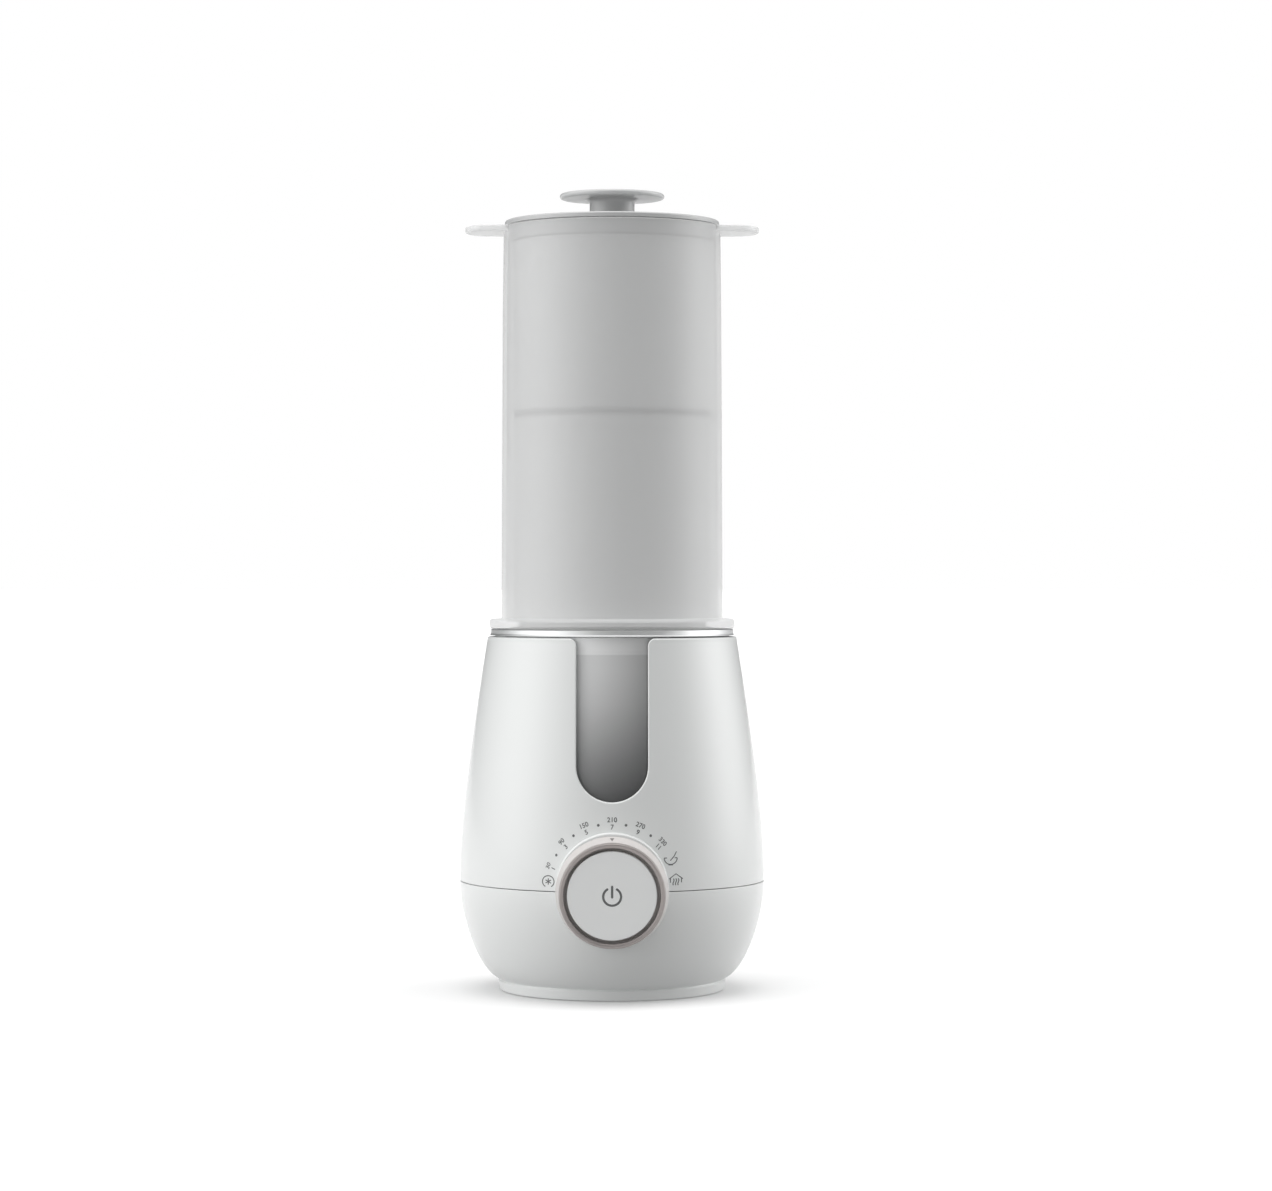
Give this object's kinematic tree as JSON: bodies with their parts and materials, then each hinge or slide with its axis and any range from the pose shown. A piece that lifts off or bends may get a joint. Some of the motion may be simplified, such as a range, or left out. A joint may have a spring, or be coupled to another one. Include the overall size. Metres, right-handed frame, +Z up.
{
  "type": "bottle warmer with steam steriliser tower",
  "caption": "Pear-shaped electric bottle warmer with a tinted warming chamber, rotary dial and push button, under a see-through steam tower with baskets and a knobbed lid.",
  "frame": {"origin": "on the body's upright axis, at the surface it stands on", "axes": "+Z up along the tower, the dial and the slot face -Y, +X to the right when seen from the front"},
  "size_m": [0.141, 0.1525, 0.3696],
  "materials": {
    "white_plastic": "glossy moulded",
    "pearl_plastic": "pearl satin",
    "taupe_satin": "satin",
    "button_plastic": "fine matte",
    "silver_trim": "satin silver",
    "smoke_plastic": "smoke-tinted clear",
    "clear_grey_plastic": "grey-tinted clear",
    "basket_plastic": "frosted",
    "lid_plastic": "satin grey",
    "steel": "satin",
    "silicone": "matte",
    "black_rubber": "matte",
    "grey_rubber": "matte",
    "dark_plastic": "moulded",
    "board_green": "solder mask",
    "lead_sleeve": "matte"
  },
  "bodies": {
    "base": {"lower_housing": "white_plastic", "upper_housing": "white_plastic", "bottom_cover": "white_plastic", "foot_1": "black_rubber", "foot_2": "black_rubber", "foot_3": "black_rubber", "foot_4": "black_rubber", "cover_screw_1": "steel", "cover_screw_2": "steel", "cover_screw_3": "steel", "warming_chamber": "smoke_plastic", "chamber_seal": "silicone", "heating_plate": "steel", "clamp_ring": "steel", "clamp_screw_1": "steel", "clamp_screw_2": "steel", "clamp_screw_3": "steel", "heating_element": "steel", "temperature_sensor": "dark_plastic", "thermal_fuse": "silicone", "trim_ring": "silver_trim", "dial_bushing": "dark_plastic", "control_board": "board_green", "board_screw_1": "steel", "board_screw_2": "steel", "tact_switch": "dark_plastic", "encoder_sensor": "dark_plastic", "cord_inlet": "grey_rubber", "mains_lead_1": "lead_sleeve", "mains_lead_2": "lead_sleeve", "heater_lead_1": "silicone", "heater_lead_2": "silicone"},
    "dial": {"dial_knob": "pearl_plastic", "dial_trim_ring": "taupe_satin", "encoder_wheel": "dark_plastic"},
    "button": {"power_button": "button_plastic"},
    "tower": {"steriliser_shell": "clear_grey_plastic"},
    "low_basket": {"lower_basket": "basket_plastic"},
    "high_basket": {"upper_basket": "basket_plastic"},
    "cover_lid": {"lid": "lid_plastic", "lid_knob": "lid_plastic"}
  },
  "joints": [
    {"name": "dial_turn", "type": "hinge", "parent": "base", "child": "dial", "pos_m": [0, -0.0695, 0.0509], "axis": [0, 0.9962, 0.0872], "range_deg": [-79, 76]},
    {"name": "button_press", "type": "slide", "parent": "base", "child": "button", "axis": [0, 0.9962, 0.0872], "range_m": [0, 0.0008], "stiffness_N_per_m": 2000},
    {"name": "tower_lift", "type": "slide", "parent": "base", "child": "tower", "axis": [0, 0, 1], "range_m": [0, 0.03]},
    {"name": "low_basket_lift", "type": "slide", "parent": "tower", "child": "low_basket", "axis": [0, 0, 1], "range_m": [0, 0.19]},
    {"name": "high_basket_lift", "type": "slide", "parent": "low_basket", "child": "high_basket", "axis": [0, 0, 1], "range_m": [0, 0.1]},
    {"name": "lid_lift", "type": "slide", "parent": "high_basket", "child": "cover_lid", "axis": [0, 0, 1], "range_m": [0, 0.04]}
  ]
}
